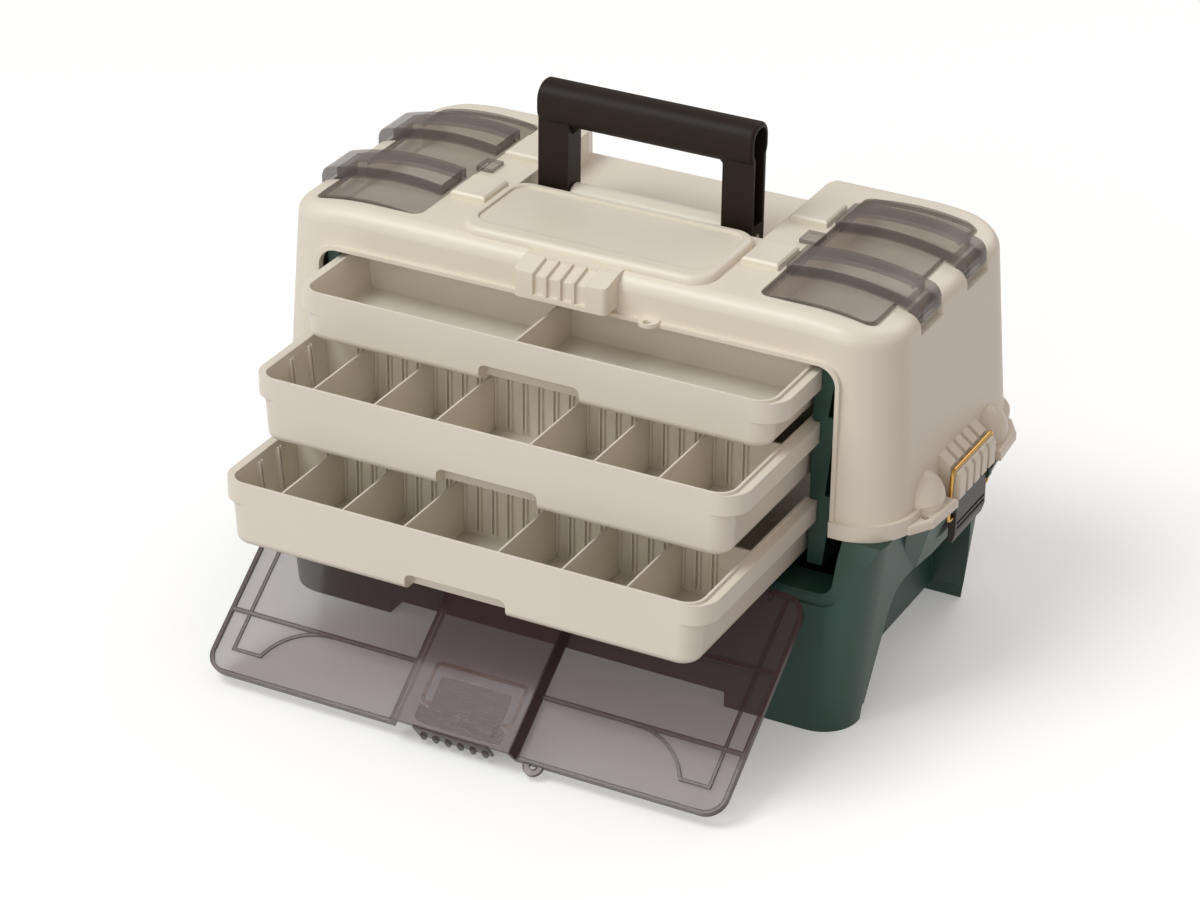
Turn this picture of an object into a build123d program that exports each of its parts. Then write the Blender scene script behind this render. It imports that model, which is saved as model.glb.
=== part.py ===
"""Tackle box with a lift-off top, three drawers, a drop-down front door and two top lids.

Millimetres, +Z up, +X to the right of someone who faces the front, front towards -Y.
Built with y = 0 at the front of the drawer frames and z = 0 on the ground, then moved
so that the origin is under the middle of the box that holds everything.
"""
from build123d import *
import math
import os

# Base: the green tub on four corner feet
base_half_width_top = 243.0
base_half_width_foot = 227.0
base_front_y = -27.0
base_back_y = 226.0
base_corner_radius = 28.0
base_rear_radius = 50.0
base_wall = 3.0
parting_z = 146.0
foot_height = 12.0
foot_inner_x = 136.0
foot_length = 31.0
recess_x = 202.0
recess_top_z = 95.0
recess_lean = 26.0
recess_corner_radius = 22.0
sill_z = 110.0
sill_depth = 30.0
door_bay_half_width = 213.0
door_bay_radius = 9.0
shoulder_drop = 44.0
shoulder_depth = 18.0
shoulder_drop_shares = (1.0, 0.58, 0.24, 0.0)
shoulder_depth_shares = (0.0, 0.25, 0.6, 1.0)
rebate_margin = 9.0
rebate_rise = 16.0
rebate_depth = 1.2
cut_over = 40.0

# Latch bulge on each side of the base and of the top
latch_y = 112.0
bulge_low_z = 96.0
bulge_shrink_share = 0.66
latch_floor_x = 248.5
latch_pocket_half = 39.5

# Top: the cream housing
cover_half_width_low = 247.0
cover_half_width_top = 236.0
cover_front_low_y = -6.0
cover_front_top_y = -4.0
cover_back_low_y = 229.0
cover_back_top_y = 222.0
cover_corner_radius = 38.0
cover_wall = 3.0
cover_top_z = 304.0
cover_flat_half_width = 170.0
cover_arch_drop = 10.5
cover_edge_radius = 11.0
band_height = 12.0
band_out = 3.5
opening_half_width = 202.0
opening_top_z = 273.0
opening_radius = 14.0
bead_width = 3.2
bead_out = 1.8
rear_well_half_width = 97.0
rear_well_front_y = 97.0
rear_well_flare = 16.0
rear_well_flare_share = 0.3
rear_well_z = 279.0
platform_half_width = 98.0
platform_front_y = 4.0
platform_back_y = 94.0
platform_height = 6.0
platform_radius = 18.0
platform_edge = 4.5
panel_inset = 7.0
panel_front_gap = 13.0
panel_depth = 1.8
panel_radius = 13.0

# Front boss, the ribbed keeper for the door's bail
boss_half_width = 36.0
boss_out = 19.0
boss_low_z = 280.0
boss_face_height = 20.0
boss_top_z = 304.5
boss_slot_count = 4
boss_slot_pitch = 10.8
boss_slot_width = 8.6
boss_slot_depth = 2.4
boss_slot_foot = 4.0
boss_round = 4.0
hasp_x = 62.0
hasp_radius = 7.5
hasp_hole_radius = 2.8
hasp_thickness = 3.0

# Side bosses, the keepers for the side bails
keeper_half_length = 32.0
keeper_x = 262.0
keeper_low_z = 148.0
keeper_shelf_z = 168.5
keeper_top_z = 186.0
keeper_round = 5.0
keeper_step = 8.0
keeper_lip = 3.5
keeper_rib_count = 5
keeper_rib_gap = 4.0
keeper_rib_depth = 2.6
dome_radius = 20.0
dome_x = 240.0
dome_rise = 12.0
dome_neck = 1.0
dome_offset_y = 57.0
side_hasp_x = 254.5
side_hasp_offset_y = 75.0
wing_gap = 1.5
wing_height = 7.0
wing_round = 2.5
wing_tip_x = 250.5
wing_bend_x = 261.0
wing_near_x = 264.0
wing_over = 3.0
wing_bend_offset_y = 75.0
wing_tip_offset_y = 92.0

# Lids over the top bins
lid_inner_x = 133.0
lid_outer_x = 217.0
lid_front_y = 16.0
lid_back_y = 197.0
lid_dome_x = 170.0
lid_dome_radius = 200.0
lid_rise = 2.4
lid_sheet = 2.4
lid_gap = 1.0
lid_hinge_gap = 2.5
lid_skirt = 3.6
lid_radius = 8.0
strap_width = 35.0
strap_centre_shares = (0.305, 0.75)
strap_rise = 8.5
strap_round = 2.4
strap_end_round = 11.0
strap_end_x = 237.0
lid_axis_x = 231.0
lid_axis_z = 289.5
lid_barrel_radius = 4.2
lid_pin_radius = 1.6
notch_gap = 1.0
notch_floor_z = 281.0
tab_width = 17.0
tab_length = 11.0
tab_thickness = 3.0
bin_floor_z = 278.0
bin_gap = 0.3
pad_inner_x = 101.0
pad_height = 5.0
pad_bevel = 1.6
pad_gap = 4.0

# Handle
handle_axis_y = 114.0
handle_axis_z = 295.0
handle_half_width = 85.0
leg_width = 24.0
leg_depth = 20.0
leg_web = 4.0
leg_flange = 3.0
grip_depth = 28.0
grip_height = 32.0
grip_radius = 13.0
grip_end_round = 2.5
grip_corner = 6.0
grip_top_z = 382.5
grip_hollow_depth = 14.0
handle_pin_radius = 3.0
handle_pin_seat = 8.0
bar_gap = 0.8
bar_radius = 11.0

# Drawer frames hung under the bins
frame_inner_x = 183.4
frame_outer_x = 200.5
frame_taper = 6.0
frame_front_thickness = 4.0
frame_web = 3.0
frame_rail = 4.0
frame_depth = 205.0
frame_low_z = 117.0
rail_gap = 0.4

# Drawers
rim_half_width = 180.0
tray_wall = 2.0
tray_depth = 205.0
tray_taper = 3.0
tray_corner_radius = 14.0
tray_bottom_radius = 6.0
ledge_half_width = 188.6
ledge_height = 15.0
ledge_drop = 2.0
ledge_radius = 20.0
mid_wall_share = 0.44
finger_half_width = 39.0
finger_height = 13.0
finger_depth = 12.0
finger_round = 5.0
rim_top_z = 269.0
rim_middle_z = 228.0
rim_bottom_z = 167.5
tray_height_top = 37.0
tray_height_low = 49.0
out_top = 66.5
out_middle = 126.0
out_bottom = 170.0
slot_pitch = 12.1
slot_count = 26
slot_width = 1.9
rib_width = 1.3
rib_depth = 2.6
side_post_pitch = 24.5
side_post_steps = (-2, -1, 1, 2, 3)
rib_below_rim = 4.0
divider_thickness = 1.5
divider_slots = (-12, -8, -4, 2, 6, 10)
divider_below_rim = 3.0
fit_gap = 0.2
top_wall_x = -15.0

# Front door, hinged at the foot of the opening
door_axis_y = -33.0
door_axis_z = 104.0
door_open_angle = 126.9
door_half_width = 204.0
door_length = 168.0
door_offset = 8.6
door_sheet = 2.6
door_radius = 16.0
door_rim_width = 3.0
door_rim_height = 2.4
door_rib_shares = (0.35, 0.71)
door_rib_width = 3.0
bead_inset = 16.0
bead_line = 2.4
bead_height = 1.5
bead_foot = 20.0
bead_turn = 22.0
bead_sweep_x = 46.0
bead_sweep_y = 28.0
centre_half_width = 47.0
centre_height = 11.7
centre_slope = 3.0
centre_start = 44.0
knuckle_radius = 5.0
knuckle_x = 146.0
knuckle_length = 26.0
lug_length = 12.0
side_gap = 0.6
door_pin_radius = 2.2
door_tab_x = 62.0
door_latch_inset = 12.0

# Latches: a lever plate and a wire bail, the same on the door and on both sides
lever_half_width = 27.0
lever_length = 36.0
lever_thickness = 5.6
lever_round = 2.0
lever_slope_length = 7.0
lever_slope = 2.2
lever_groove = 2.0
lever_groove_depth = 1.4
lever_pin_radius = 1.6
lever_pin_inset = 5.5
bail_wire_radius = 1.5
bail_bend_radius = 4.0
bail_half_width = 35.5
bail_seat_depth = 8.0
bail_below_pin = 10.0
ear_thickness = 4.0
ear_radius = 5.0
side_pin_x = 255.5
side_pin_z = 140.0
bail_rest_x = 257.0
door_lever_outer = 0.6
running_gap = 0.06
face_gap = 0.4


def block(x0, x1, y0, y1, z0, z1):
    """A box between two corners."""
    middle = Pos((x0 + x1) / 2, (y0 + y1) / 2, (z0 + z1) / 2)
    return middle * Box(abs(x1 - x0), abs(y1 - y0), abs(z1 - z0))


def rod_x(radius, x0, x1, y, z):
    """A round bar along X."""
    return Pos((x0 + x1) / 2, y, z) * Rot(0, 90, 0) * Cylinder(radius, abs(x1 - x0))


def rod_y(radius, x, y0, y1, z):
    """A round bar along Y."""
    return Pos(x, (y0 + y1) / 2, z) * Rot(90, 0, 0) * Cylinder(radius, abs(y1 - y0))


def slab(width, y0, y1, z0, z1, radius):
    """An upright prism with rounded corners, centred on X."""
    sketch = Pos(0, (y0 + y1) / 2, z0) * RectangleRounded(width, y1 - y0, radius)
    return extrude(sketch, amount=z1 - z0)


def tapered(half_low, y0_low, y1_low, z_low, half_high, y0_high, y1_high, z_high, radius):
    """A body with rounded corners that changes its plan evenly from one height to another."""
    low = Pos(0, (y0_low + y1_low) / 2, z_low) * RectangleRounded(2 * half_low, y1_low - y0_low, radius)
    high_plan = RectangleRounded(2 * half_high, y1_high - y0_high, radius)
    high = Pos(0, (y0_high + y1_high) / 2, z_high) * high_plan
    return loft([low, high], ruled=True)


def across(points, x0, x1):
    """A prism along X from points given as (y, z)."""
    face = make_face(Polyline(*[(0, y, z) for y, z in points], close=True))
    return Pos(x0, 0, 0) * extrude(face, amount=x1 - x0, dir=(1, 0, 0))


def along(points, y0, y1):
    """A prism along Y from points given as (x, z)."""
    face = make_face(Polyline(*[(x, 0, z) for x, z in points], close=True))
    return Pos(0, y0, 0) * extrude(face, amount=y1 - y0, dir=(0, 1, 0))


def mirrored(shape):
    """The same piece on the other side of the middle plane."""
    return mirror(shape, about=Plane.YZ)


pieces = {}


# The base: a tub with recessed sides, so that its corners read as four columns
far = base_half_width_top + cut_over


def base_form(inset):
    front_y = base_front_y + inset
    back_y = base_back_y - inset
    foot_half = base_half_width_foot - inset
    top_half = base_half_width_top - inset
    body = tapered(foot_half, front_y, back_y, 0, top_half, front_y, back_y, parting_z,
                   base_corner_radius - inset)
    rear_front_y = front_y - 2 * base_rear_radius
    rear = tapered(foot_half, rear_front_y, back_y, 0, top_half, rear_front_y, back_y, parting_z,
                   base_rear_radius - inset)
    return body & rear


def side_recess(grow):
    front = base_front_y + foot_length - grow
    back = base_back_y - foot_length + grow
    sketch = Polyline(
        (0, front, -cut_over), (0, front, 0), (0, front + recess_lean, recess_top_z + grow),
        (0, back - recess_lean, recess_top_z + grow), (0, back, 0), (0, back, -cut_over), close=True,
    )
    face = make_face(sketch)
    face = fillet(face.vertices().group_by(Axis.Z)[-1], recess_corner_radius)
    shape = Pos(recess_x - grow, 0, 0) * extrude(face, amount=far - recess_x + grow, dir=(1, 0, 0))
    return shape


base = base_form(0)


def bulge_plan(z, reach_share):
    """The outline of a latch bulge, which follows the wings of the top and draws in lower down."""
    outline = [(wing_tip_x, wing_tip_offset_y), (wing_bend_x, wing_bend_offset_y),
               (wing_near_x, latch_pocket_half)]
    outline = [(recess_x + (x - wing_over - recess_x) * reach_share, (y - wing_over) * reach_share)
               for x, y in outline]
    outline = [(recess_x, outline[0][1])] + outline
    near = [(x, latch_y - y, z) for x, y in outline]
    far_side = [(x, latch_y + y, z) for x, y in reversed(outline)]
    return make_face(Polyline(*near, *far_side, close=True))


bulge = loft([bulge_plan(bulge_low_z, bulge_shrink_share), bulge_plan(parting_z, 1)], ruled=True)
bulge = bulge - block(latch_floor_x, far, latch_y - latch_pocket_half, latch_y + latch_pocket_half, 0,
                      parting_z + cut_over)
base = base + bulge + mirrored(bulge)
recess = side_recess(0)
base = base - recess - mirrored(recess)
cavity_low = base_form(base_wall) & block(
    -far, far, base_front_y, base_back_y, foot_height + base_wall, sill_z - base_wall)
cavity_high = base_form(base_wall) & block(
    -far, far, base_front_y + sill_depth, base_back_y, sill_z - 2 * base_wall, parting_z)
inner_recess = side_recess(base_wall)
cavity = cavity_low + cavity_high - inner_recess - mirrored(inner_recess)
base = base - cavity
base = base - block(-foot_inner_x, foot_inner_x, base_front_y, base_back_y, 0, foot_height)
base = base - block(-far, far, base_front_y + foot_length, base_back_y - foot_length, 0, foot_height)


def bay_cut(grow, depth):
    """The door's bay, cut into the front of the base to a depth and grown by a margin."""
    half = door_bay_half_width + grow
    face = make_face(Polyline(
        (-half, 0, sill_z - grow), (half, 0, sill_z - grow), (half, 0, parting_z + cut_over),
        (-half, 0, parting_z + cut_over), close=True))
    face = fillet(face.vertices().group_by(Axis.Z)[0], door_bay_radius + grow)
    return Pos(0, base_front_y - cut_over, 0) * extrude(face, amount=cut_over + depth, dir=(0, 1, 0))


base = base - bay_cut(0, sill_depth) - bay_cut(rebate_margin, rebate_depth)
base = base - block(-far, far, base_front_y - cut_over, base_front_y + rebate_depth,
                    sill_z + rebate_rise, parting_z)
shoulder = [(base_front_y + shoulder_depth * depth_share, parting_z - shoulder_drop * drop_share)
            for depth_share, drop_share in zip(shoulder_depth_shares, shoulder_drop_shares)]
base = base - across(shoulder + [(base_front_y, parting_z)], -far, far)
ear_y = lever_half_width + side_gap
for side in (1, -1):
    for end in (1, -1):
        near = latch_y + end * ear_y
        outer = latch_y + end * (ear_y + ear_thickness)
        ear = rod_y(ear_radius, side * side_pin_x, near, outer, side_pin_z)
        ear = ear + block(side * (latch_floor_x - base_wall), side * side_pin_x, near, outer,
                          side_pin_z - ear_radius, side_pin_z + ear_radius)
        ear = ear - rod_y(lever_pin_radius + running_gap, side * side_pin_x, near, outer, side_pin_z)
        base = base + ear
lug_root_y = base_front_y + base_wall / 2
for side in (1, -1):
    for end in (1, -1):
        near = side * knuckle_x + end * (knuckle_length / 2 + side_gap)
        outer = near + end * lug_length
        lug = rod_x(knuckle_radius, near, outer, door_axis_y, door_axis_z)
        lug = lug + block(near, outer, door_axis_y, lug_root_y,
                          door_axis_z - knuckle_radius, door_axis_z + knuckle_radius)
        lug = lug - rod_x(door_pin_radius + running_gap, near, outer, door_axis_y, door_axis_z)
        base = base + lug
pieces["base_tub"] = base


# The top housing: one shell with rounded corners, arched towards its sides
cover_far = cover_half_width_low + cut_over


def arch(top):
    """Everything under the arched roof line whose flat middle is at the given height."""
    run = cover_half_width_top - cover_flat_half_width
    reach = run + cut_over
    drop = cover_arch_drop * (reach / run) ** 2
    flat_right = (cover_flat_half_width, 0, top)
    flat_left = (-cover_flat_half_width, 0, top)
    end_right = (cover_flat_half_width + reach, 0, top - drop)
    end_left = (-cover_flat_half_width - reach, 0, top - drop)
    outline = [
        Line(flat_left, flat_right),
        TangentArc(flat_right, end_right, tangent=(1, 0, 0)),
        Polyline(end_right, (end_right[0], 0, 0), (end_left[0], 0, 0), end_left),
        TangentArc(flat_left, end_left, tangent=(-1, 0, 0)),
    ]
    depth = cover_back_low_y - cover_front_low_y + cut_over
    under = extrude(make_face(outline), amount=depth, dir=(0, 1, 0))
    return Pos(0, cover_front_low_y - cut_over / 2, 0) * under


def cover_form(inset):
    body = tapered(
        cover_half_width_low - inset, cover_front_low_y + inset, cover_back_low_y - inset, parting_z,
        cover_half_width_top - inset, cover_front_top_y + inset, cover_back_top_y - inset, cover_top_z,
        cover_corner_radius - inset,
    )
    body = body & arch(cover_top_z - inset)
    edges = [e for e in body.edges() if e.center().Z > cover_top_z - inset - 2 * cover_arch_drop]
    rim = [e for e in edges if abs(e.center().Y - cover_front_top_y) < cover_corner_radius
           or abs(e.center().Y - cover_back_top_y) < cover_corner_radius
           or abs(e.center().X) > cover_half_width_top - cover_corner_radius]
    body = fillet(rim, cover_edge_radius - inset)
    half = rear_well_half_width + inset
    flare = rear_well_flare * rear_well_flare_share
    edge = [(half, rear_well_front_y - inset), (half, cover_back_top_y - rear_well_flare),
            (half + flare, cover_back_top_y - flare), (half + rear_well_flare, cover_back_low_y + cut_over)]
    well = make_face(Polyline(
        *[(x, y, rear_well_z - inset) for x, y in edge],
        *[(-x, y, rear_well_z - inset) for x, y in reversed(edge)], close=True))
    return body - extrude(well, amount=cover_top_z - rear_well_z + cut_over, dir=(0, 0, 1))


cover_outer = cover_form(0)
cover_core = cover_form(cover_wall / 2)
cover = cover_outer - cover_form(cover_wall)
band = tapered(
    cover_half_width_low + band_out, cover_front_low_y - band_out, cover_back_low_y + band_out, parting_z,
    cover_half_width_low + band_out, cover_front_low_y - band_out, cover_back_low_y + band_out,
    parting_z + band_height, cover_corner_radius + band_out)
cover = cover + (band - cover_core)

# Side keepers, their domes and the padlock tabs, on both sides of the top
keeper = along(
    [(cover_half_width_top, keeper_low_z), (keeper_x, keeper_low_z), (keeper_x, keeper_shelf_z),
     (keeper_x - keeper_step, keeper_shelf_z), (keeper_x - keeper_step, keeper_shelf_z + keeper_lip),
     (cover_half_width_top, keeper_top_z)],
    latch_y - keeper_half_length, latch_y + keeper_half_length)
edge = keeper.edges().filter_by(Axis.Y).group_by(Axis.X)[-1].sort_by(Axis.Z)[-1]
keeper = fillet(edge, keeper_round)
keeper_pitch = 2 * keeper_half_length / keeper_rib_count
keeper_lip_z = keeper_shelf_z + keeper_lip
for number in range(1, keeper_rib_count):
    middle = latch_y - keeper_half_length + number * keeper_pitch
    y0 = middle - keeper_rib_gap / 2
    y1 = middle + keeper_rib_gap / 2
    keeper = keeper - block(keeper_x - keeper_rib_depth, keeper_x, y0, y1, keeper_low_z, keeper_top_z)
    keeper = keeper - along(
        [(keeper_x - keeper_step, keeper_lip_z - keeper_rib_depth), (keeper_x - keeper_step, keeper_lip_z),
         (cover_half_width_top, keeper_top_z), (cover_half_width_top, keeper_top_z - keeper_rib_depth)],
        y0, y1)
wing_near = bail_half_width + bail_wire_radius + wing_gap
side_trim = keeper
tab_y = latch_y - side_hasp_offset_y
for end in (1, -1):
    wing_face = make_face(Polyline(
        (cover_half_width_top, latch_y + end * wing_near, parting_z),
        (wing_near_x, latch_y + end * wing_near, parting_z),
        (wing_bend_x, latch_y + end * wing_bend_offset_y, parting_z),
        (wing_tip_x, latch_y + end * wing_tip_offset_y, parting_z),
        (cover_half_width_top, latch_y + end * wing_tip_offset_y, parting_z), close=True))
    wing = extrude(wing_face, amount=wing_height, dir=(0, 0, 1))
    top_edges = wing.faces().sort_by(Axis.Z)[-1].edges().sort_by(Axis.X)[1:]
    side_trim = side_trim + fillet(top_edges, wing_round)
    dome_y = latch_y + end * dome_offset_y
    dome = Pos(dome_x, dome_y, parting_z + dome_rise) * Sphere(dome_radius)
    dome = dome & block(0, cover_far, dome_y - dome_radius, dome_y + dome_radius,
                        parting_z + dome_rise, cover_top_z)
    neck = Cylinder(dome_radius - dome_neck, dome_rise)
    dome = dome + Pos(dome_x, dome_y, parting_z + dome_rise / 2) * neck
    side_trim = side_trim + dome
side_trim = side_trim - Pos(side_hasp_x, tab_y, parting_z) * Cylinder(hasp_hole_radius, cut_over)
side_trim = side_trim - cover_core
cover = cover + side_trim + mirrored(side_trim)

# Bins under the lids and the notches that the lid straps drop into
lid_length = lid_back_y - lid_front_y
strap_middles = [lid_front_y + share * lid_length for share in strap_centre_shares]
bin_inner_x = lid_inner_x - lid_gap
bin_outer_x = lid_outer_x + lid_hinge_gap
bin_middle_x = (bin_inner_x + bin_outer_x) / 2
notch_half = strap_width / 2 + notch_gap
bin_box = block(bin_inner_x - cover_wall, bin_outer_x + cover_wall, lid_front_y - lid_gap - cover_wall,
                lid_back_y + lid_gap + cover_wall, bin_floor_z - cover_wall, cover_top_z)
bin_box = bin_box & cover_form(cover_wall + bin_gap)
notches = [block(bin_outer_x + cover_wall, cover_far, middle - notch_half - cover_wall,
                 middle + notch_half + cover_wall, notch_floor_z - cover_wall, cover_top_z) & cover_outer
           for middle in strap_middles]
for notch in notches:
    cover = cover + notch + mirrored(notch)
bin_cut = Pos(bin_middle_x, (lid_front_y + lid_back_y) / 2, bin_floor_z) * RectangleRounded(
    bin_outer_x - bin_inner_x, lid_length + 2 * lid_gap, lid_radius)
bin_cut = extrude(bin_cut, amount=cut_over)
for middle in strap_middles:
    bin_cut = bin_cut + block(bin_outer_x - cover_wall, cover_far, middle - notch_half, middle + notch_half,
                              notch_floor_z, cover_top_z)
    bin_cut = bin_cut + rod_y(lid_pin_radius + running_gap, lid_axis_x, middle - notch_half - cover_wall,
                              middle + notch_half + cover_wall, lid_axis_z)
cover = cover - bin_cut - mirrored(bin_cut)
lure_bin = bin_box - bin_cut
pieces["lure_bin_right"] = lure_bin
pieces["lure_bin_left"] = mirrored(lure_bin)
for middle in strap_middles:
    pad = block(pad_inner_x, lid_inner_x - pad_gap, middle - strap_width / 2, middle + strap_width / 2,
                cover_top_z - cover_wall / 2, cover_top_z + pad_height)
    pad = chamfer(pad.edges().group_by(Axis.Z)[-1], pad_bevel)
    cover = cover + pad + mirrored(pad)

# The raised platform with its panel, and the bar between the handle's legs
platform = slab(2 * platform_half_width, platform_front_y, platform_back_y, cover_top_z - cover_wall / 2,
                cover_top_z + platform_height, platform_radius)
platform = fillet(platform.edges().group_by(Axis.Z)[-1], platform_edge)
platform = platform - slab(
    2 * (platform_half_width - panel_inset), platform_front_y + panel_front_gap,
    platform_back_y - panel_inset, cover_top_z + platform_height - panel_depth, cover_top_z + cut_over,
    panel_radius)
cover = cover + platform
bar_end = handle_half_width - leg_width - bar_gap
bar = rod_x(bar_radius, -bar_end, bar_end, handle_axis_y, handle_axis_z)
bar = bar + block(-bar_end, bar_end, handle_axis_y - bar_radius, handle_axis_y + bar_radius,
                  rear_well_z - cover_wall / 2, handle_axis_z)
for side in (1, -1):
    bar = bar - rod_x(handle_pin_radius + running_gap, side * (bar_end - handle_pin_seat - face_gap),
                      side * bar_end, handle_axis_y, handle_axis_z)
cover = cover + bar

# Front boss: a sloping block with slots along its top and down its face
boss_front_y = cover_front_top_y - boss_out
boss = across(
    [(boss_front_y, boss_low_z), (boss_front_y, boss_low_z + boss_face_height),
     (cover_front_top_y, boss_top_z), (cover_front_top_y + cover_edge_radius, boss_top_z),
     (cover_front_top_y + cover_edge_radius, boss_low_z)],
    -boss_half_width, boss_half_width)
boss = fillet(boss.edges().filter_by(Axis.Z).group_by(Axis.Y)[0], boss_round)
slot_cut = across(
    [(boss_front_y, boss_low_z + boss_slot_foot), (boss_front_y, boss_low_z + boss_face_height),
     (cover_front_top_y, boss_top_z), (cover_front_top_y, boss_top_z - boss_slot_depth),
     (boss_front_y + boss_slot_depth, boss_low_z + boss_face_height - boss_slot_depth),
     (boss_front_y + boss_slot_depth, boss_low_z + boss_slot_foot)],
    -boss_slot_width / 2, boss_slot_width / 2)
for number in range(boss_slot_count):
    shift = (number - (boss_slot_count - 1) / 2) * boss_slot_pitch
    boss = boss - Pos(shift, 0, 0) * slot_cut
boss = boss - cover_core
cover = cover + boss

# The drawer opening in the front, with a bead around it
opening = make_face(Polyline(
    (-opening_half_width, 0, parting_z - cut_over), (opening_half_width, 0, parting_z - cut_over),
    (opening_half_width, 0, opening_top_z), (-opening_half_width, 0, opening_top_z), close=True))
opening = fillet(opening.vertices().group_by(Axis.Z)[-1], opening_radius)
frame_line = make_face(Polyline(
    (-opening_half_width - bead_width, 0, parting_z), (opening_half_width + bead_width, 0, parting_z),
    (opening_half_width + bead_width, 0, opening_top_z + bead_width),
    (-opening_half_width - bead_width, 0, opening_top_z + bead_width), close=True))
frame_line = fillet(frame_line.vertices().group_by(Axis.Z)[-1], opening_radius + bead_width)
bead = extrude(frame_line, amount=bead_out + cover_wall, dir=(0, 1, 0))
bead = Pos(0, cover_front_low_y - bead_out, 0) * bead
cover = cover + bead
opening_cut = Pos(0, cover_front_low_y - cut_over, 0) * extrude(
    opening, amount=cut_over + 2 * cover_wall, dir=(0, 1, 0))
cover = cover - opening_cut
hasp = Pos(hasp_x, cover_front_low_y - hasp_radius / 3, opening_top_z + hasp_thickness) * Cylinder(
    hasp_radius, hasp_thickness)
hasp = hasp - Pos(hasp_x, cover_front_low_y - hasp_radius / 2 - bead_out, opening_top_z) * Cylinder(
    hasp_hole_radius, cut_over)
hasp = hasp - cover_core
cover = cover + hasp
pieces["cover_shell"] = cover


# Handle: a grip on two channel legs, open towards its sides
leg_top_z = grip_top_z - grip_height / 2
grip_sketch = Plane.YZ * RectangleRounded(grip_depth, grip_height, grip_radius)
grip = extrude(grip_sketch, amount=2 * handle_half_width)
handle = Pos(-handle_half_width, handle_axis_y, leg_top_z) * grip
end_edges = handle.edges().group_by(Axis.X)
handle = fillet(end_edges[0] + end_edges[-1], grip_end_round)
hollow = Plane.YZ * RectangleRounded(
    grip_depth - 2 * leg_web, grip_height - 2 * leg_web, grip_radius - leg_web)
leg = block(handle_half_width - leg_width, handle_half_width, handle_axis_y - leg_depth / 2,
            handle_axis_y + leg_depth / 2, handle_axis_z, leg_top_z)
leg = leg + rod_x(leg_depth / 2, handle_half_width - leg_width, handle_half_width,
                  handle_axis_y, handle_axis_z)
channel = block(handle_half_width - leg_width + leg_web, handle_half_width,
                handle_axis_y - leg_depth / 2 + leg_flange, handle_axis_y + leg_depth / 2 - leg_flange,
                handle_axis_z + leg_depth / 2, leg_top_z)
channel = channel + Pos(handle_half_width - grip_hollow_depth, handle_axis_y, leg_top_z) * extrude(
    hollow, amount=grip_hollow_depth)
leg_inner_x = handle_half_width - leg_width
grip_low_z = grip_top_z - grip_height
leg = leg + along(
    [(leg_inner_x, leg_top_z), (leg_inner_x - grip_corner, leg_top_z),
     (leg_inner_x - grip_corner, grip_low_z), (leg_inner_x, grip_low_z - grip_corner)],
    handle_axis_y - leg_flange, handle_axis_y + leg_flange)
leg_bore = rod_x(handle_pin_radius + running_gap, handle_half_width - leg_width, handle_half_width,
                 handle_axis_y, handle_axis_z)
handle = handle + leg + mirrored(leg)
handle = handle - channel - mirrored(channel) - leg_bore - mirrored(leg_bore)
pieces["handle"] = handle
handle_pin = rod_x(handle_pin_radius, bar_end - handle_pin_seat, handle_half_width,
                   handle_axis_y, handle_axis_z)
pieces["handle_pin_right"] = handle_pin
pieces["handle_pin_left"] = mirrored(handle_pin)


# Lids: a domed sheet with a skirt and two raised, hollow straps that hinge at the shoulder
def lid_plan(inset):
    sketch = Pos((lid_inner_x + lid_outer_x) / 2, (lid_front_y + lid_back_y) / 2, 0) * RectangleRounded(
        lid_outer_x - lid_inner_x - 2 * inset, lid_length - 2 * inset, lid_radius - inset)
    return extrude(sketch, amount=cover_top_z + cut_over)


def lid_dome(rise):
    """Everything under the lid's dome, raised by an amount."""
    return rod_y(lid_dome_radius + rise, lid_dome_x, lid_front_y - cut_over, lid_back_y + cut_over,
                 cover_top_z + lid_rise - lid_dome_radius)


lid_roof = lid_dome(0)
sheet = (lid_roof - lid_dome(-lid_sheet)) & lid_plan(0)
skirt = (lid_roof - lid_dome(-lid_skirt)) & (lid_plan(0) - lid_plan(lid_sheet))
lid = sheet + skirt
strap_roof = lid_dome(strap_rise)
strap_underside = lid_dome(-lid_sheet / 2)
strap_inside = lid_dome(strap_rise - lid_sheet)
roof_z = cover_top_z + cut_over
for middle in strap_middles:
    y0 = middle - strap_width / 2
    y1 = middle + strap_width / 2
    strap = strap_roof & block(lid_inner_x + lid_sheet, strap_end_x, y0, y1, lid_axis_z, roof_z)
    strap = fillet(strap.faces().sort_by(Axis.Z)[-1].edges().sort_by(Axis.X)[-1], strap_end_round)
    strap = fillet(strap.edges().filter_by(GeomType.CIRCLE), strap_round)
    strap = strap - (strap_underside & block(0, lid_axis_x - lid_barrel_radius, y0, y1, 0, roof_z))
    barrel = rod_y(lid_barrel_radius, lid_axis_x, y0, y1, lid_axis_z)
    hollow = strap_inside & block(
        lid_inner_x + 2 * lid_sheet, lid_axis_x - lid_barrel_radius - lid_sheet,
        y0 + lid_sheet, y1 - lid_sheet, lid_axis_z, roof_z)
    lid = lid + strap + barrel - hollow
    lid = lid - rod_y(lid_pin_radius + running_gap, lid_axis_x, y0, y1, lid_axis_z)
tab_middle = (strap_middles[0] + strap_middles[1]) / 2
tab_y0 = tab_middle - tab_width / 2
tab_y1 = tab_middle + tab_width / 2
tab_top_z = cover_top_z + face_gap + tab_thickness
lid = lid + block(lid_inner_x - tab_length, lid_inner_x + lid_sheet, tab_y0, tab_y1,
                  cover_top_z + face_gap, tab_top_z)
lid = lid + block(lid_inner_x, lid_inner_x + lid_sheet, tab_y0, tab_y1, cover_top_z - lid_sheet, tab_top_z)
pieces["lid_right"] = lid
pieces["lid_left"] = mirrored(lid)
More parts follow.
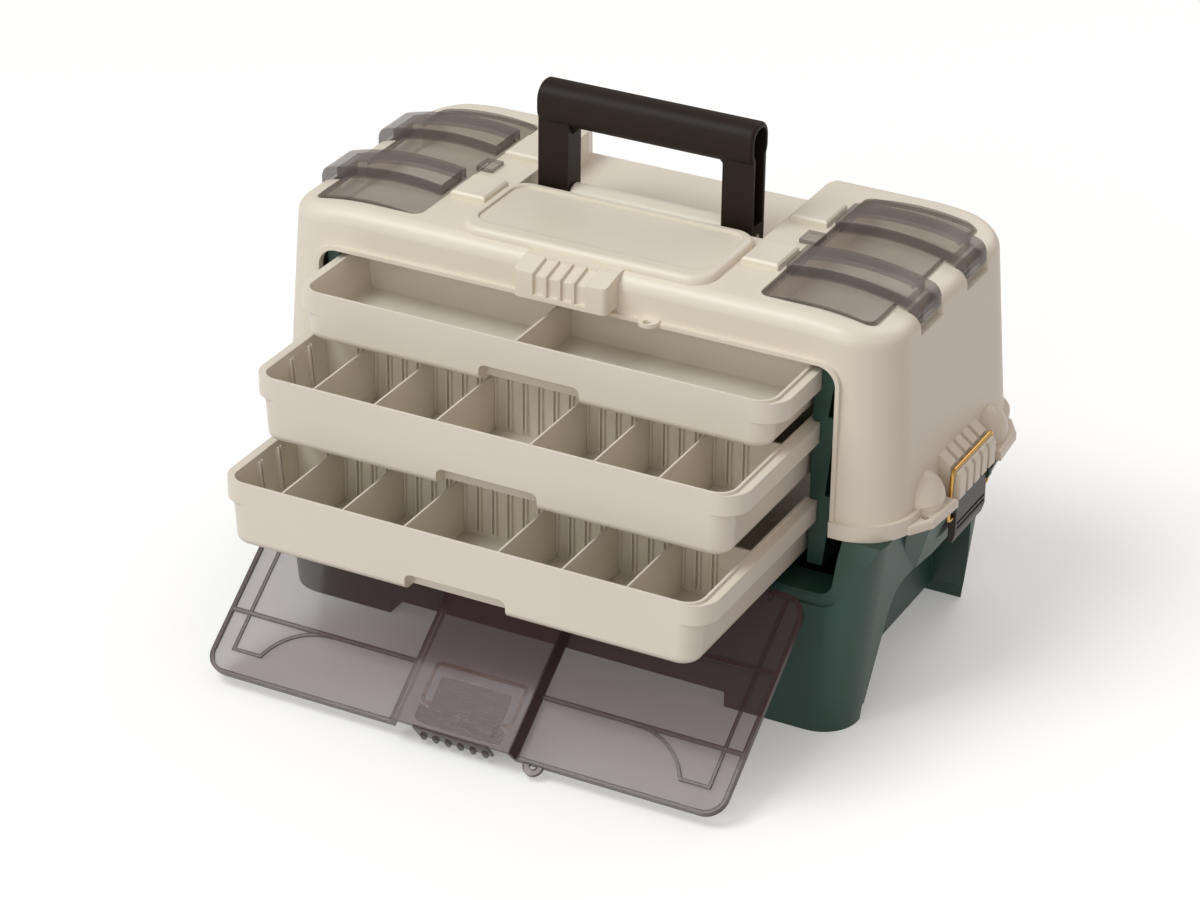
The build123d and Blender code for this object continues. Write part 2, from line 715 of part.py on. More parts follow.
for number, middle in enumerate(strap_middles):
    end = ("front", "rear")[number]
    pin = rod_y(lid_pin_radius, lid_axis_x, middle - notch_half - cover_wall,
                middle + notch_half + cover_wall, lid_axis_z)
    pieces[f"lid_pin_right_{end}"] = pin
    pieces[f"lid_pin_left_{end}"] = mirrored(pin)


# Drawer frames: a toothed front strip, a web and a rail under and over each drawer's ledge
rims = {"top": rim_top_z, "middle": rim_middle_z, "bottom": rim_bottom_z}
frame_top_z = bin_floor_z - cover_wall
levels = [frame_top_z, rim_middle_z + frame_rail, rim_bottom_z + frame_rail, frame_low_z]
web_x = ledge_half_width + frame_taper / 2
side_frame = block(web_x, web_x + frame_web, 0, frame_depth, frame_low_z, frame_top_z)
for upper, lower in zip(levels, levels[1:]):
    side_frame = side_frame + along(
        [(frame_inner_x, upper), (frame_outer_x, upper), (frame_outer_x - frame_taper, lower),
         (frame_inner_x, lower)], 0, frame_front_thickness)
for rim_z in rims.values():
    ledge_low = rim_z - ledge_drop - ledge_height
    side_frame = side_frame - block(
        frame_inner_x, ledge_half_width + side_gap, 0, frame_depth, ledge_low - rail_gap,
        rim_z + rail_gap)
    side_frame = side_frame + block(
        frame_inner_x, web_x, 0, frame_depth, ledge_low - rail_gap - frame_rail, ledge_low - rail_gap)
    side_frame = side_frame + block(
        frame_inner_x, web_x, frame_front_thickness / 2, frame_depth, rim_z - ledge_drop + rail_gap,
        rim_z + frame_rail)
pieces["drawer_frame_right"] = side_frame
pieces["drawer_frame_left"] = mirrored(side_frame)


# Drawers: trays with a side ledge, a finger hollow under the front and slotted walls
def tray_form(front_y, rim_z, height, inset):
    body = tapered(
        rim_half_width + tray_wall - tray_taper - inset, front_y + inset,
        front_y + tray_depth - inset, rim_z - height + inset,
        rim_half_width + tray_wall - inset, front_y + inset, front_y + tray_depth - inset, rim_z,
        tray_corner_radius - inset)
    return fillet(body.edges().group_by(Axis.Z)[0], tray_bottom_radius - inset)


def tray(front_y, rim_z, height, slotted):
    low_z = rim_z - height
    ledge_top = rim_z - ledge_drop
    body = tray_form(front_y, rim_z, height, 0)
    body = body + slab(2 * ledge_half_width, front_y, front_y + tray_depth, ledge_top - ledge_height,
                       ledge_top, ledge_radius)
    inside = tray_form(front_y, rim_z, height, tray_wall)
    middle_y = front_y + mid_wall_share * tray_depth
    fill = block(-finger_half_width - tray_wall, finger_half_width + tray_wall, front_y,
                 front_y + finger_depth + tray_wall, low_z, low_z + finger_height + tray_wall)
    walls = [block(-rim_half_width, rim_half_width, middle_y - tray_wall / 2, middle_y + tray_wall / 2,
                   low_z, rim_z - rib_below_rim) & inside]
    walls.append(fill & tray_form(front_y, rim_z, height, tray_wall / 2))
    if slotted:
        rib_low = low_z + tray_bottom_radius
        rib_high = rim_z - rib_below_rim
        mid_face = middle_y - tray_wall / 2
        for number in range(slot_count):
            x = (number - (slot_count - 1) / 2) * slot_pitch
            for side in (1, -1):
                inner = x + side * slot_width / 2
                outer = inner + side * rib_width
                walls.append(block(inner, outer, front_y + tray_wall / 2, front_y + tray_wall + rib_depth,
                                   rib_low, rib_high))
                walls.append(block(inner, outer, mid_face - rib_depth, mid_face + tray_wall / 2,
                                   rib_low, rib_high))
        wall_low = rim_half_width - tray_taper
        post = along(
            [(wall_low - rib_depth, rib_low), (wall_low + tray_wall / 2, rib_low),
             (rim_half_width + tray_wall / 2, rib_high), (rim_half_width - rib_depth, rib_high)],
            0, rib_width)
        for step in side_post_steps:
            y = middle_y + step * side_post_pitch
            for place in (y - slot_width / 2 - rib_width, y + slot_width / 2):
                walls.append(Pos(0, place, 0) * post)
                walls.append(Pos(0, place, 0) * mirrored(post))
    else:
        walls.append(block(top_wall_x - tray_wall / 2, top_wall_x + tray_wall / 2, front_y, middle_y, low_z,
                           rim_z - rib_below_rim) & inside)
    body = (body - inside) + walls
    finger_cut = block(-finger_half_width, finger_half_width, front_y, front_y + finger_depth, low_z,
                       low_z + finger_height)
    return body - fillet(finger_cut.edges().filter_by(Axis.Y).group_by(Axis.Z)[-1], finger_round)


def divider(number, front_y, rim_z, height):
    x = (number + 1 / 2) * slot_pitch
    middle_y = front_y + mid_wall_share * tray_depth
    plate = block(x - divider_thickness / 2, x + divider_thickness / 2, front_y,
                  middle_y - tray_wall / 2 - fit_gap, rim_z - height, rim_z - divider_below_rim)
    hollow = block(-finger_half_width - tray_wall - fit_gap, finger_half_width + tray_wall + fit_gap,
                   front_y, front_y + finger_depth + tray_wall + fit_gap, rim_z - height,
                   rim_z - height + finger_height + tray_wall + fit_gap)
    return (plate & tray_form(front_y, rim_z, height, tray_wall + fit_gap)) - hollow


pieces["drawer_top"] = tray(-out_top, rim_top_z, tray_height_top, False)
for level, out, rim_z in (("middle", out_middle, rim_middle_z), ("bottom", out_bottom, rim_bottom_z)):
    pieces[f"drawer_{level}"] = tray(-out, rim_z, tray_height_low, True)
    for count, number in enumerate(divider_slots):
        pieces[f"divider_{level}_{count + 1}"] = divider(number, -out, rim_z, tray_height_low)


# Latch parts, made lying flat: the pin runs along X, the free end points to -Y, outside is +Z
def lever():
    free_y = lever_pin_inset - lever_length
    plate = across(
        [(free_y, -lever_thickness / 2), (lever_pin_inset, -lever_thickness / 2),
         (lever_pin_inset, lever_thickness / 2), (free_y + lever_slope_length, lever_thickness / 2),
         (free_y, lever_thickness / 2 - lever_slope)],
        -lever_half_width, lever_half_width)
    plate = fillet(plate.edges().filter_by(Axis.X).group_by(Axis.Y)[-1], lever_round)
    for number in (1, 2):
        y = free_y + lever_slope_length + 2 * number * lever_groove
        plate = plate - block(
            -lever_half_width + lever_round, lever_half_width - lever_round, y - lever_groove / 2,
            y + lever_groove / 2, lever_thickness / 2 - lever_groove_depth, lever_thickness)
    plate = plate - rod_x(lever_pin_radius + running_gap, -lever_half_width, lever_half_width, 0, 0)
    for side in (1, -1):
        plate = plate - rod_x(bail_wire_radius + running_gap,
                              side * (lever_half_width - bail_seat_depth - face_gap),
                              side * lever_half_width, -bail_below_pin, 0)
    return plate


def bail(bar_y, bar_z):
    tip = lever_half_width - bail_seat_depth
    path = FilletPolyline(
        (-tip, -bail_below_pin, 0), (-bail_half_width, -bail_below_pin, 0),
        (-bail_half_width, bar_y, bar_z), (bail_half_width, bar_y, bar_z),
        (bail_half_width, -bail_below_pin, 0), (tip, -bail_below_pin, 0), radius=bail_bend_radius)
    start = Plane(origin=(-tip, -bail_below_pin, 0), z_dir=(1, 0, 0))
    return sweep(start * Circle(bail_wire_radius), path=path)


def latch_pin():
    reach = lever_half_width + side_gap + ear_thickness
    return rod_x(lever_pin_radius, -reach, reach, 0, 0)


bail_rest_z = keeper_shelf_z + bail_wire_radius + face_gap
side_place = Plane(origin=(side_pin_x, latch_y, side_pin_z), x_dir=(0, 1, 0), z_dir=(1, 0, 0)).location
side_latch = {
    "side_latch": lever(),
    "side_bail": bail(bail_rest_z - side_pin_z, bail_rest_x - side_pin_x),
    "side_latch_pin": latch_pin(),
}
for name, shape in side_latch.items():
    pieces[f"{name}_right"] = side_place * shape
    pieces[f"{name}_left"] = mirrored(side_place * shape)


# Front door, made flat with its hinge axis on X, its length along -Y and its inside up
inner_t = door_offset
outer_t = door_offset - door_sheet


def door_slab(inset, low, high):
    return slab(2 * (door_half_width - inset), inset - door_length, -inset, low, high, door_radius - inset)


door = door_slab(0, outer_t, inner_t)
door = door + (door_slab(0, inner_t, inner_t + door_rim_height)
               - door_slab(door_rim_width, inner_t, inner_t + door_rim_height))
for share in door_rib_shares:
    y = -share * door_length
    door = door + block(-door_half_width + door_rim_width, door_half_width - door_rim_width,
                        y - door_rib_width / 2, y + door_rib_width / 2, inner_t, inner_t + door_rim_height)
side_x = door_half_width - bead_inset
low_y = -door_length + bead_foot
bead_path = Polyline((side_x, -door_rim_width, 0), (side_x, low_y, 0), (side_x - bead_turn, low_y, 0))
bead_path = bead_path + ThreePointArc(
    (side_x - bead_turn, low_y, 0),
    (side_x - bead_turn - bead_sweep_x / 3, low_y + 2 * bead_sweep_y / 3, 0),
    (side_x - bead_turn - bead_sweep_x, low_y + bead_sweep_y, 0))
line = Pos(0, 0, inner_t) * extrude(trace(bead_path, bead_line), amount=bead_height)
door = door + line + mirrored(line)
hat = along(
    [(-centre_half_width - centre_slope, outer_t), (centre_half_width + centre_slope, outer_t),
     (centre_half_width, inner_t + centre_height), (-centre_half_width, inner_t + centre_height)],
    -door_length, -centre_start)
hat_inner = along(
    [(-centre_half_width - centre_slope + door_sheet, outer_t),
     (centre_half_width + centre_slope - door_sheet, outer_t),
     (centre_half_width - door_sheet, inner_t + centre_height - door_sheet),
     (-centre_half_width + door_sheet, inner_t + centre_height - door_sheet)],
    -door_length, -centre_start - door_sheet)
door = door + hat - hat_inner
for side in (1, -1):
    x0 = side * knuckle_x - knuckle_length / 2
    x1 = side * knuckle_x + knuckle_length / 2
    knuckle = rod_x(knuckle_radius, x0, x1, 0, 0)
    knuckle = knuckle + block(x0, x1, -knuckle_radius, 0, 0, outer_t + door_sheet / 2)
    door = door + (knuckle - rod_x(door_pin_radius + running_gap, x0, x1, 0, 0))
latch_s = door_length - door_latch_inset
latch_t = outer_t + door_lever_outer + lever_thickness / 2
for side in (1, -1):
    x0 = side * (lever_half_width + side_gap)
    x1 = x0 + side * ear_thickness
    ear = rod_x(ear_radius, x0, x1, -latch_s, latch_t)
    ear = ear + block(x0, x1, -latch_s - ear_radius, -latch_s + ear_radius, latch_t,
                      inner_t + centre_height - door_sheet / 2)
    door = door + (ear - rod_x(lever_pin_radius + running_gap, x0, x1, -latch_s, latch_t))
tab = extrude(Circle(hasp_radius) - Circle(hasp_hole_radius), amount=hasp_thickness)
tab = Pos(door_tab_x, -door_length, outer_t) * tab
door = door + (tab & block(0, door_half_width, -door_length - 2 * hasp_radius, -door_length, 0, cut_over))
latch_place = Plane(origin=(0, -latch_s, latch_t), x_dir=(1, 0, 0), z_dir=(0, 0, -1)).location
door_pin = rod_x(door_pin_radius, knuckle_x - knuckle_length / 2 - side_gap - lug_length,
                 knuckle_x + knuckle_length / 2 + side_gap + lug_length, 0, 0)
tilt = math.radians(door_open_angle)
door_place = Plane(origin=(0, door_axis_y, door_axis_z), x_dir=(1, 0, 0),
                   z_dir=(0, math.cos(tilt), math.sin(tilt))).location
door_set = {
    "front_door": door,
    "door_latch": latch_place * lever(),
    "door_bail": latch_place * bail(-lever_length - bail_bend_radius, 0),
    "door_latch_pin": latch_place * latch_pin(),
    "door_pin_right": door_pin,
    "door_pin_left": mirrored(door_pin),
}
for name, shape in door_set.items():
    pieces[name] = door_place * shape


# Move everything so that the origin is under the middle of the whole, and write the files
boxes = [shape.bounding_box() for shape in pieces.values()]
middle_y = (min(b.min.Y for b in boxes) + max(b.max.Y for b in boxes)) / 2
os.makedirs("parts", exist_ok=True)
for name, shape in pieces.items():
    export_step(Pos(0, -middle_y, 0) * shape, f"parts/{name}.step")
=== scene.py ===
import math

import bpy
from mathutils import Matrix, Vector


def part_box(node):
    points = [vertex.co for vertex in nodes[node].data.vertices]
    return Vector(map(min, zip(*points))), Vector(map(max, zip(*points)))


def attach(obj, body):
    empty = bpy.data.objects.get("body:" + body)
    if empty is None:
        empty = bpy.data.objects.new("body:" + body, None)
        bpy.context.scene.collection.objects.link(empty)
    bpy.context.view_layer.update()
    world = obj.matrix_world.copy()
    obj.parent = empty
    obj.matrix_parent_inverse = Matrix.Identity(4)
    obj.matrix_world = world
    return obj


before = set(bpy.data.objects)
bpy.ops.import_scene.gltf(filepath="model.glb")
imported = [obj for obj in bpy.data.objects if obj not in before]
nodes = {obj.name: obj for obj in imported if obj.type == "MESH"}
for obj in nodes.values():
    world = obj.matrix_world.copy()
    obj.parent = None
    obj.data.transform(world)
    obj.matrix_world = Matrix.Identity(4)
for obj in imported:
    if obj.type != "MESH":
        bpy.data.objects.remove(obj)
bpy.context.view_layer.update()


# Base tub: one deep injection-moulded piece in dark green, standing on four hollow corner feet.
# Its walls carry a fine satin grain, faint darker mottling and rubbed, paler edges.
def grainy_plastic(name, colour, dusk, rough, scuff=0.0, depth=0.05, edge=0.0008, gleam=0.5):
    """Moulded plastic: a fine grain, faint mottling, and soft edges that use has scuffed paler."""
    smoother, rougher = 0.07, 0.08
    scuff_lift = 0.35
    made = bpy.data.materials.new(name)
    made.use_nodes = True
    tree = made.node_tree
    shader = tree.nodes["Principled BSDF"]
    place = tree.nodes.new("ShaderNodeTexCoord")
    cloud = tree.nodes.new("ShaderNodeTexNoise")
    cloud.inputs["Scale"].default_value = 9.0
    cloud.inputs["Detail"].default_value = 6.0
    tree.links.new(place.outputs["Object"], cloud.inputs["Vector"])
    tint = tree.nodes.new("ShaderNodeValToRGB")
    tint.color_ramp.elements[0].position = 0.32
    tint.color_ramp.elements[0].color = (*dusk, 1)
    tint.color_ramp.elements[1].position = 0.62
    tint.color_ramp.elements[1].color = (*colour, 1)
    tree.links.new(cloud.outputs["Fac"], tint.inputs["Fac"])
    soft = tree.nodes.new("ShaderNodeBevel")
    soft.samples = 4
    soft.inputs["Radius"].default_value = edge
    flat = tree.nodes.new("ShaderNodeNewGeometry")
    turned = tree.nodes.new("ShaderNodeVectorMath")
    turned.operation = "DOT_PRODUCT"
    tree.links.new(soft.outputs["Normal"], turned.inputs[0])
    tree.links.new(flat.outputs["Normal"], turned.inputs[1])
    rubbed = tree.nodes.new("ShaderNodeMapRange")
    rubbed.inputs["From Min"].default_value = 0.99
    rubbed.inputs["From Max"].default_value = 0.75
    rubbed.inputs["To Max"].default_value = scuff
    tree.links.new(turned.outputs["Value"], rubbed.inputs["Value"])
    paler = tree.nodes.new("ShaderNodeMix")
    paler.data_type = "RGBA"
    tree.links.new(rubbed.outputs["Result"], paler.inputs["Factor"])
    tree.links.new(tint.outputs["Color"], paler.inputs["A"])
    paler.inputs["B"].default_value = (*[c + scuff_lift * (1 - c) for c in colour], 1)
    tree.links.new(paler.outputs["Result"], shader.inputs["Base Color"])
    rub = tree.nodes.new("ShaderNodeMapRange")
    rub.inputs["To Min"].default_value = rough - smoother
    rub.inputs["To Max"].default_value = rough + rougher
    tree.links.new(cloud.outputs["Fac"], rub.inputs["Value"])
    tree.links.new(rub.outputs["Result"], shader.inputs["Roughness"])
    speck = tree.nodes.new("ShaderNodeTexNoise")
    speck.inputs["Scale"].default_value = 2800.0
    speck.inputs["Detail"].default_value = 3.0
    tree.links.new(place.outputs["Object"], speck.inputs["Vector"])
    bump = tree.nodes.new("ShaderNodeBump")
    bump.inputs["Strength"].default_value = depth
    bump.inputs["Distance"].default_value = 0.0004
    tree.links.new(speck.outputs["Fac"], bump.inputs["Height"])
    tree.links.new(soft.outputs["Normal"], bump.inputs["Normal"])
    tree.links.new(bump.outputs["Normal"], shader.inputs["Normal"])
    shader.inputs["IOR"].default_value = 1.5
    shader.inputs["Specular IOR Level"].default_value = gleam
    return made


def wear(material, *names):
    """Gives CAD nodes their finish."""
    for name in names:
        nodes[name].data.materials.clear()
        nodes[name].data.materials.append(material)


green_colour = (0.020, 0.066, 0.050)
green_dusk = (0.015, 0.050, 0.038)
green = grainy_plastic("green moulded plastic", green_colour, green_dusk, 0.42, scuff=0.10)
wear(green, "base_tub")


# Housing: the cream shell that lifts off the tub, with its roof, keepers, bins and padlock tabs.
# It has a smoother skin than the tub, with faint darker mottling.
cream_colour = (0.79, 0.725, 0.615)
cream_dusk = (0.76, 0.695, 0.585)
cream = grainy_plastic("cream moulded plastic", cream_colour, cream_dusk, 0.38, depth=0.03)
wear(cream, "cover_shell", "lure_bin_left", "lure_bin_right")


# Drawer frames: two strips of the tub's green plastic, toothed along the outer edge,
# that hang inside the opening and carry the drawers on their rails.
wear(green, "drawer_frame_left", "drawer_frame_right")


# Drawers and dividers: thin cream trays, a shade paler in hue and glossier than the housing,
# with thin loose plates that drop into slots moulded in the walls of the lower two.
tray_colour = (0.78, 0.72, 0.625)
tray_dusk = (0.75, 0.69, 0.595)
tray_skin = grainy_plastic("cream tray plastic", tray_colour, tray_dusk, 0.30, depth=0.02, edge=0.0006)
wear(tray_skin, "drawer_top", "drawer_middle", "drawer_bottom")
wear(tray_skin, *[name for name in nodes if name.startswith("divider_")])


# Door and lids: moulded sheets of smoke-coloured plastic that turn on pins at their edge.
# They let some light through, are clouded by fine scratches from use, and look densest
# where the sheet is seen edge on. On the door, whatever stands up as a rim, a rib or the raised
# middle is also painted denser and darker. This is partly the ribs' own edge-on look and partly
# painted shade of the hollow seen through the raised middle.
def smoke_sheet(name, colour, clear, dense, facing, raised=0.0):
    """Translucent smoke plastic with hairline scratches, dense at its edges, with painted shade on its
    raised ribs and panels.
    """
    dense_shade = 0.45
    raised_shade_span = 0.010
    # Density by height above the sheet: a dark band over the ribs, then painted shade on the raised
    # middle.
    rib_and_painted_shade_stops = ((0.04, 0.0), (0.12, 0.9), (0.27, 0.9), (0.33, 0.42))
    made = bpy.data.materials.new(name)
    made.use_nodes = True
    tree = made.node_tree
    shader = tree.nodes["Principled BSDF"]
    place = tree.nodes.new("ShaderNodeTexCoord")
    stretch = tree.nodes.new("ShaderNodeMapping")
    stretch.inputs["Scale"].default_value = (12, 160, 160)
    stretch.inputs["Rotation"].default_value = (0.3, 0.2, 0.5)
    tree.links.new(place.outputs["Object"], stretch.inputs["Vector"])
    scratch = tree.nodes.new("ShaderNodeTexNoise")
    scratch.inputs["Scale"].default_value = 6.0
    scratch.inputs["Detail"].default_value = 5.0
    tree.links.new(stretch.outputs["Vector"], scratch.inputs["Vector"])
    haze = tree.nodes.new("ShaderNodeMapRange")
    haze.inputs["From Min"].default_value = 0.35
    haze.inputs["From Max"].default_value = 0.75
    haze.inputs["To Min"].default_value = 0.13
    haze.inputs["To Max"].default_value = 0.25
    tree.links.new(scratch.outputs["Fac"], haze.inputs["Value"])
    tree.links.new(haze.outputs["Result"], shader.inputs["Roughness"])
    across = tree.nodes.new("ShaderNodeVectorMath")
    across.operation = "DOT_PRODUCT"
    across.inputs[1].default_value = facing
    tree.links.new(place.outputs["Normal"], across.inputs[0])
    square = tree.nodes.new("ShaderNodeMath")
    square.operation = "ABSOLUTE"
    tree.links.new(across.outputs["Value"], square.inputs[0])
    thick = tree.nodes.new("ShaderNodeMapRange")
    thick.inputs["From Min"].default_value = 0.95
    thick.inputs["From Max"].default_value = 0.45
    tree.links.new(square.outputs["Value"], thick.inputs["Value"])
    # Painted shade: parts raised above the sheet are made denser and darker. This is partly the ribs'
    # own look and partly the shade of the hollow behind the raised middle.
    if raised:
        height = tree.nodes.new("ShaderNodeVectorMath")
        height.operation = "DOT_PRODUCT"
        height.inputs[1].default_value = facing
        tree.links.new(place.outputs["Object"], height.inputs[0])
        stood = tree.nodes.new("ShaderNodeMapRange")
        stood.inputs["From Min"].default_value = raised
        stood.inputs["From Max"].default_value = raised + raised_shade_span
        tree.links.new(height.outputs["Value"], stood.inputs["Value"])
        rib_and_painted_shade = tree.nodes.new("ShaderNodeValToRGB")
        rib_and_painted_shade.color_ramp.elements.new(0.5)
        rib_and_painted_shade.color_ramp.elements.new(0.7)
        for stop, (at, much) in zip(rib_and_painted_shade.color_ramp.elements, rib_and_painted_shade_stops):
            stop.position = at
            stop.color = (much, much, much, 1)
        tree.links.new(stood.outputs["Result"], rib_and_painted_shade.inputs["Fac"])
        most = tree.nodes.new("ShaderNodeMath")
        most.operation = "MAXIMUM"
        tree.links.new(thick.outputs["Result"], most.inputs[0])
        tree.links.new(rib_and_painted_shade.outputs["Color"], most.inputs[1])
        thick = most
    tint = tree.nodes.new("ShaderNodeMix")
    tint.data_type = "RGBA"
    tree.links.new(thick.outputs[0], tint.inputs["Factor"])
    tint.inputs["A"].default_value = (*colour, 1)
    tint.inputs["B"].default_value = (*[dense_shade * c for c in colour], 1)
    tree.links.new(tint.outputs["Result"], shader.inputs["Base Color"])
    through = tree.nodes.new("ShaderNodeMapRange")
    through.inputs["To Min"].default_value = clear
    through.inputs["To Max"].default_value = dense
    tree.links.new(thick.outputs[0], through.inputs["Value"])
    tree.links.new(through.outputs["Result"], shader.inputs["Alpha"])
    soft = tree.nodes.new("ShaderNodeBevel")
    soft.samples = 4
    soft.inputs["Radius"].default_value = 0.0008
    tree.links.new(soft.outputs["Normal"], shader.inputs["Normal"])
    shader.inputs["IOR"].default_value = 1.5
    shader.inputs["Specular IOR Level"].default_value = 0.3
    return made


door_drop = math.radians(36.9)
door_facing = (0, -math.sin(door_drop), math.cos(door_drop))
hinge_low, hinge_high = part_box("door_pin_left")
hinge = (hinge_low + hinge_high) / 2
# The door sheet's height along its facing. Above it, the ribs and raised middle carry painted shade.
sheet_offset = 0.0086
sheet_height = hinge.dot(Vector(door_facing)) + sheet_offset
door_tint = (0.145, 0.076, 0.082)
smoke_door = smoke_sheet("smoke door sheet", door_tint, 0.38, 0.92, door_facing, sheet_height)
wear(smoke_door, "front_door")
lid_tint = (0.30, 0.250, 0.232)
smoke_lid = smoke_sheet("smoke lid sheet", lid_tint, 0.24, 0.62, (0, 0, 1))
wear(smoke_lid, "lid_left", "lid_right")
# Latch plate: smoke plastic painted almost black and almost opaque, as painted shade of the hollow
# behind the door's free edge.
plate_tint_with_painted_shade = (0.022, 0.013, 0.011)
smoke_plate = smoke_sheet("smoke latch plate", plate_tint_with_painted_shade, 0.90, 0.97, door_facing)
wear(smoke_plate, "door_latch")


# Finger grip: a short skirt below the raised middle of the door's free edge, with round teeth
# along its foot. It is moulded with the door in the same smoke plastic, as a hold for the fingers.
grip_tint = (0.160, 0.092, 0.096)
smoke_grip = smoke_sheet("smoke grip", grip_tint, 0.40, 0.72, door_facing)
free_edge = -0.168
skirt_width = 0.060
skirt_depth = 0.0024
skirt_low = 0.0034
skirt_high = 0.0186
skirt_inset = 0.0004
tooth_count = 6
tooth_radius = 0.0021
tooth_length = 0.006
tooth_pitch = 0.0098
tooth_proud = 0.0012
tooth_lift = 0.0026
soft_edge = 0.0009
level_within = 0.0001
skirt_middle = (0, free_edge + skirt_inset, (skirt_low + skirt_high) / 2)
bpy.ops.object.select_all(action="DESELECT")
bpy.ops.mesh.primitive_cube_add(size=1, location=skirt_middle)
grip_bar = bpy.context.object
grip_bar.name = "door_finger_grip"
bpy.ops.transform.resize(value=(skirt_width, skirt_depth, skirt_high - skirt_low))
bpy.ops.object.transform_apply(location=True, rotation=True, scale=True)
bpy.ops.object.mode_set(mode="EDIT")
bpy.ops.mesh.select_all(action="SELECT")
bpy.ops.mesh.bevel(offset=soft_edge, segments=3, affect="EDGES")
bpy.ops.object.mode_set(mode="OBJECT")
bpy.ops.object.select_all(action="DESELECT")
first_tooth = (-(tooth_count - 1) / 2 * tooth_pitch, free_edge - tooth_proud, skirt_low + tooth_lift)
bpy.ops.mesh.primitive_cylinder_add(
    vertices=28, radius=tooth_radius, depth=tooth_length, location=first_tooth)
tooth = bpy.context.object
bpy.ops.object.transform_apply(location=True, rotation=True, scale=True)
bpy.ops.object.mode_set(mode="EDIT")
bpy.ops.mesh.select_mode(type="EDGE")
bpy.ops.mesh.select_all(action="DESELECT")
bpy.ops.object.mode_set(mode="OBJECT")
for edge in tooth.data.edges:
    low, high = (tooth.data.vertices[v].co.z for v in edge.vertices)
    edge.select = abs(low - high) < level_within
bpy.ops.object.mode_set(mode="EDIT")
bpy.ops.mesh.bevel(offset=soft_edge, segments=3, affect="EDGES")
bpy.ops.object.mode_set(mode="OBJECT")
teeth = [tooth]
for _ in range(tooth_count - 1):
    bpy.ops.object.select_all(action="DESELECT")
    teeth[-1].select_set(True)
    bpy.context.view_layer.objects.active = teeth[-1]
    bpy.ops.object.duplicate(linked=False)
    bpy.ops.transform.translate(value=(tooth_pitch, 0, 0))
    teeth.append(bpy.context.object)
bpy.ops.object.select_all(action="DESELECT")
for piece in teeth:
    piece.select_set(True)
grip_bar.select_set(True)
bpy.context.view_layer.objects.active = grip_bar
bpy.ops.object.join()
grip_bar.rotation_euler = (door_drop, 0, 0)
grip_bar.location = (0, hinge.y, hinge.z)
bpy.ops.object.transform_apply(location=True, rotation=True, scale=True)
bpy.ops.object.shade_smooth_by_angle(angle=math.radians(40))
grip_bar.data.materials.append(smoke_grip)
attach(grip_bar, "door")


# Latches: grooved lever plates moulded in grey-brown plastic, each with a bail of bent brass wire
# that hooks over a keeper. The levers, and the door, lids and handle, turn on plain steel pins.
lever_colour = (0.058, 0.047, 0.043)
lever_dusk = (0.047, 0.038, 0.035)
lever_skin = grainy_plastic("lever plastic", lever_colour, lever_dusk, 0.38, scuff=0.12, gleam=0.28)
wear(lever_skin, "side_latch_left", "side_latch_right")


def bright_metal(name, colour, rough):
    """Drawn wire or rod, with a fine unevenness in its polish."""
    brighter, duller = 0.08, 0.12
    made = bpy.data.materials.new(name)
    made.use_nodes = True
    tree = made.node_tree
    shader = tree.nodes["Principled BSDF"]
    shader.inputs["Metallic"].default_value = 1.0
    shader.inputs["Base Color"].default_value = (*colour, 1)
    place = tree.nodes.new("ShaderNodeTexCoord")
    streak = tree.nodes.new("ShaderNodeTexNoise")
    streak.inputs["Scale"].default_value = 240.0
    streak.inputs["Detail"].default_value = 4.0
    tree.links.new(place.outputs["Object"], streak.inputs["Vector"])
    polish = tree.nodes.new("ShaderNodeMapRange")
    polish.inputs["To Min"].default_value = rough - brighter
    polish.inputs["To Max"].default_value = rough + duller
    tree.links.new(streak.outputs["Fac"], polish.inputs["Value"])
    tree.links.new(polish.outputs["Result"], shader.inputs["Roughness"])
    return made


brass = bright_metal("brass wire", (0.60, 0.36, 0.10), 0.24)
wear(brass, "door_bail", "side_bail_left", "side_bail_right")
steel = bright_metal("steel pin", (0.56, 0.55, 0.53), 0.30)
wear(steel, *[name for name in nodes if "_pin" in name])


# Handle: a rounded grip on two channel legs, moulded in one piece of dark brown, almost black
# plastic. It pivots on pins in the housing's bar and is dull from being held.
grip_colour = (0.019, 0.0115, 0.0080)
grip_dusk = (0.015, 0.0090, 0.0062)
grip = grainy_plastic("dark grip plastic", grip_colour, grip_dusk, 0.48, scuff=0.05, gleam=0.2)
wear(grip, "handle")


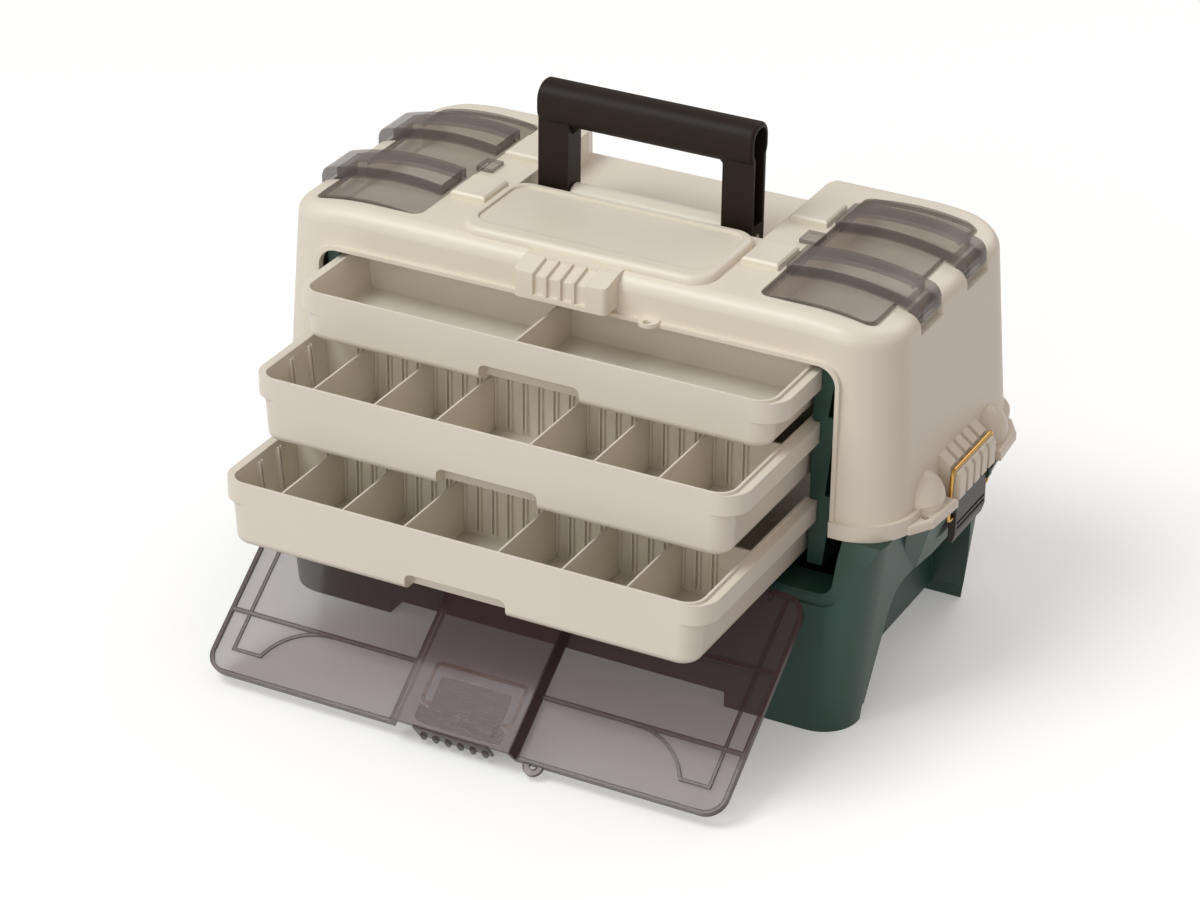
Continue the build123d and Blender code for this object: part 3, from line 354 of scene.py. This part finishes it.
# Studio: a pale floor that glows a little, as an overlit white table does, a large soft light
# high on the left, weaker ones in front, on the right and behind, and the photo's camera.
bpy.ops.object.select_all(action="DESELECT")
bpy.ops.mesh.primitive_plane_add(size=12, location=(0, 0, 0))
floor = bpy.context.object
floor.name = "floor"
paper = bpy.data.materials.new("pale paper")
paper.use_nodes = True
paper_shader = paper.node_tree.nodes["Principled BSDF"]
paper_shader.inputs["Base Color"].default_value = (0.92, 0.92, 0.915, 1)
paper_shader.inputs["Roughness"].default_value = 0.9
paper_shader.inputs["Emission Color"].default_value = (1, 1, 1, 1)
paper_shader.inputs["Emission Strength"].default_value = 0.22
floor.data.materials.append(paper)
floor.visible_diffuse = False

scene = bpy.context.scene
scene.view_settings.view_transform = "Standard"
world = bpy.data.worlds.new("studio air")
scene.world = world
world.use_nodes = True
air = world.node_tree.nodes["Background"]
air.inputs["Color"].default_value = (1.0, 0.905, 0.885, 1)
air.inputs["Strength"].default_value = 0.43


def soft_light(name, place, aim, size, power, colour):
    """A square softbox that faces a point."""
    lamp = bpy.data.lights.new(name, "AREA")
    lamp.size = size
    lamp.energy = power
    lamp.color = colour
    holder = bpy.data.objects.new(name, lamp)
    scene.collection.objects.link(holder)
    holder.location = place
    holder.rotation_euler = (Vector(aim) - Vector(place)).to_track_quat("-Z", "Y").to_euler()


box_middle = (0, 0, 0.15)
box_upper = (0, 0, 0.2)
soft_light("key", (-1.7, -2.4, 4.6), box_middle, 2.6, 145, (0.94, 1.0, 0.985))
soft_light("front", (0.1, -3.4, 1.3), box_middle, 2.2, 26, (0.96, 1.0, 0.975))
soft_light("fill", (2.2, -1.2, 1.2), box_middle, 1.6, 1.5, (1.0, 0.80, 0.74))
soft_light("back", (0.4, 2.0, 1.8), box_upper, 1.4, 10, (1, 1, 1))

# The camera stands where the photo was taken from, measured from the front of the drawer frames.
strip_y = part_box("drawer_frame_right")[0].y
camera_x, camera_ahead, camera_z = 1.1039, 2.0982, 1.4178
az, el, roll = (math.radians(a) for a in (27.29, 27.99, 0.72))
right = Vector((math.cos(az), math.sin(az), 0))
back = Vector((math.sin(az) * math.cos(el), -math.cos(az) * math.cos(el), math.sin(el)))
up = back.cross(right)
side = math.cos(roll) * right + math.sin(roll) * up
top = -math.sin(roll) * right + math.cos(roll) * up
lens = bpy.data.cameras.new("photo camera")
lens.lens = 114.12
lens.sensor_width = 36
lens.clip_end = 50
camera = bpy.data.objects.new("photo camera", lens)
scene.collection.objects.link(camera)
turn = Matrix((side, top, back)).transposed().to_4x4()
turn.translation = Vector((camera_x, strip_y - camera_ahead, camera_z))
camera.matrix_world = turn
scene.camera = camera
